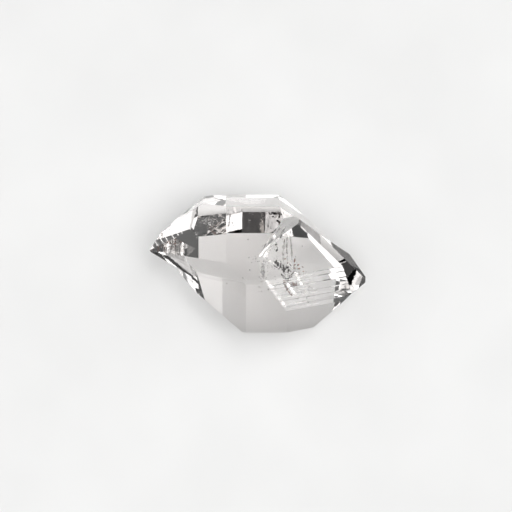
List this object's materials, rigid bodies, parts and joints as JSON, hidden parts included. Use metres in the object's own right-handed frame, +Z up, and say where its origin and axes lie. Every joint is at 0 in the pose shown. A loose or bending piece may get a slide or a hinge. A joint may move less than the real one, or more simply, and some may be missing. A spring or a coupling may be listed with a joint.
{
  "type": "herkimer diamond",
  "caption": "Clear, doubly terminated quartz crystal with flat prism faces, growth ledges on one end and dark inclusions inside, lying on a prism face.",
  "frame": {"origin": "middle of the crystal's footprint box, on the plane that its base face rests on", "axes": "+X along the crystal's length towards the stepped end, +Y to its back, +Z up"},
  "size_m": [0.0248, 0.0168, 0.0138],
  "materials": {
    "clear_quartz": "polished"
  },
  "bodies": {
    "root": {"crystal": "clear_quartz"}
  },
  "joints": []
}
